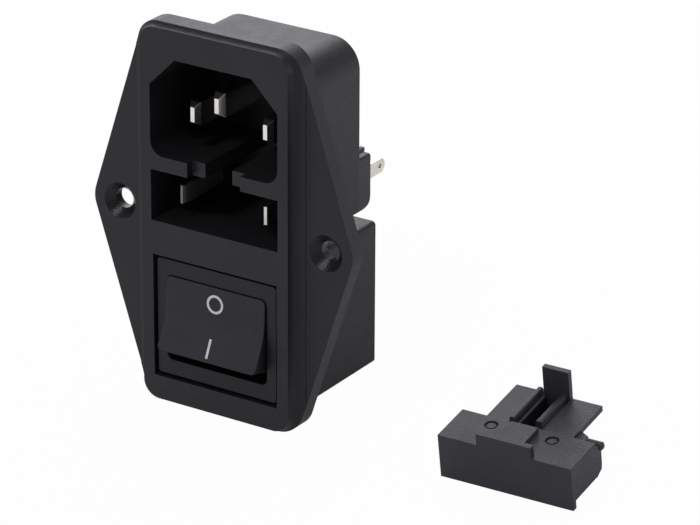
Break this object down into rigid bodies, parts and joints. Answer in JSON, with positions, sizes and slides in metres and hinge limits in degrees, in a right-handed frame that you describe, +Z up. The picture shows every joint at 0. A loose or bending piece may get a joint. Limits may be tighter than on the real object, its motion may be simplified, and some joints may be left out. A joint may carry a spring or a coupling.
{
  "type": "ac power connector",
  "caption": "Panel mains inlet module with inlet pins, fuse slot and rocker switch on one screw flange, and its fuse drawer lying beside it.",
  "frame": {"origin": "midway between the two screw holes, on the back face of the flange, which sits on the panel", "axes": "+X to the right seen from the front, +Y to the back through the panel, +Z up"},
  "size_m": [0.0906, 0.0341, 0.0661],
  "materials": {
    "black": "satin",
    "nickel": "nickel plated, satin",
    "brass": "plain",
    "copper": "plain copper alloy",
    "silver": "plain silver alloy",
    "steel": "bright spring steel"
  },
  "bodies": {
    "module": {"housing": "black", "terminal_carrier": "black", "pin_line": "nickel", "pin_neutral": "nickel", "pin_earth": "nickel", "fuse_contact_left": "nickel", "fuse_contact_right": "nickel", "switch_frame": "black", "switch_base": "black", "fixed_tip_left": "silver", "fixed_tip_right": "silver", "common_terminal_left": "brass", "common_terminal_right": "brass", "load_terminal_left": "brass", "load_terminal_right": "brass", "fuse_drawer": "black"},
    "rocker": {"rocker": "black", "spring_left": "steel", "spring_right": "steel"},
    "plunger_left": {"plunger_left": "brass"},
    "plunger_right": {"plunger_right": "brass"},
    "lever_left": {"lever_left": "copper", "lever_tip_left": "silver"},
    "lever_right": {"lever_right": "copper", "lever_tip_right": "silver"}
  },
  "joints": [
    {"name": "rocker_tilt", "type": "hinge", "parent": "module", "child": "rocker", "pos_m": [0, -0.00075, -0.01745], "axis": [1, 0, 0], "range_deg": [0, 29.1]},
    {"name": "plunger_left_slide", "type": "slide", "parent": "rocker", "child": "plunger_left", "axis": [0, -0.9679, 0.2512], "range_m": [0, 0.0008], "stiffness_N_per_m": 300, "deforming": ["spring_left"]},
    {"name": "plunger_right_slide", "type": "slide", "parent": "rocker", "child": "plunger_right", "axis": [0, -0.9679, 0.2512], "range_m": [0, 0.0008], "stiffness_N_per_m": 300, "deforming": ["spring_right"]},
    {"name": "lever_left_tilt", "type": "hinge", "parent": "module", "child": "lever_left", "pos_m": [-0.0045, 0.0071, -0.01745], "axis": [1, 0, 0], "range_deg": [-16.1, 0]},
    {"name": "lever_right_tilt", "type": "hinge", "parent": "module", "child": "lever_right", "pos_m": [0.0045, 0.0071, -0.01745], "axis": [1, 0, 0], "range_deg": [-16.1, 0]}
  ],
  "couplings": [
    {"joint": "lever_left_tilt", "follows": "rocker_tilt", "ratio": -0.54983},
    {"joint": "lever_right_tilt", "follows": "rocker_tilt", "ratio": -0.54983}
  ]
}
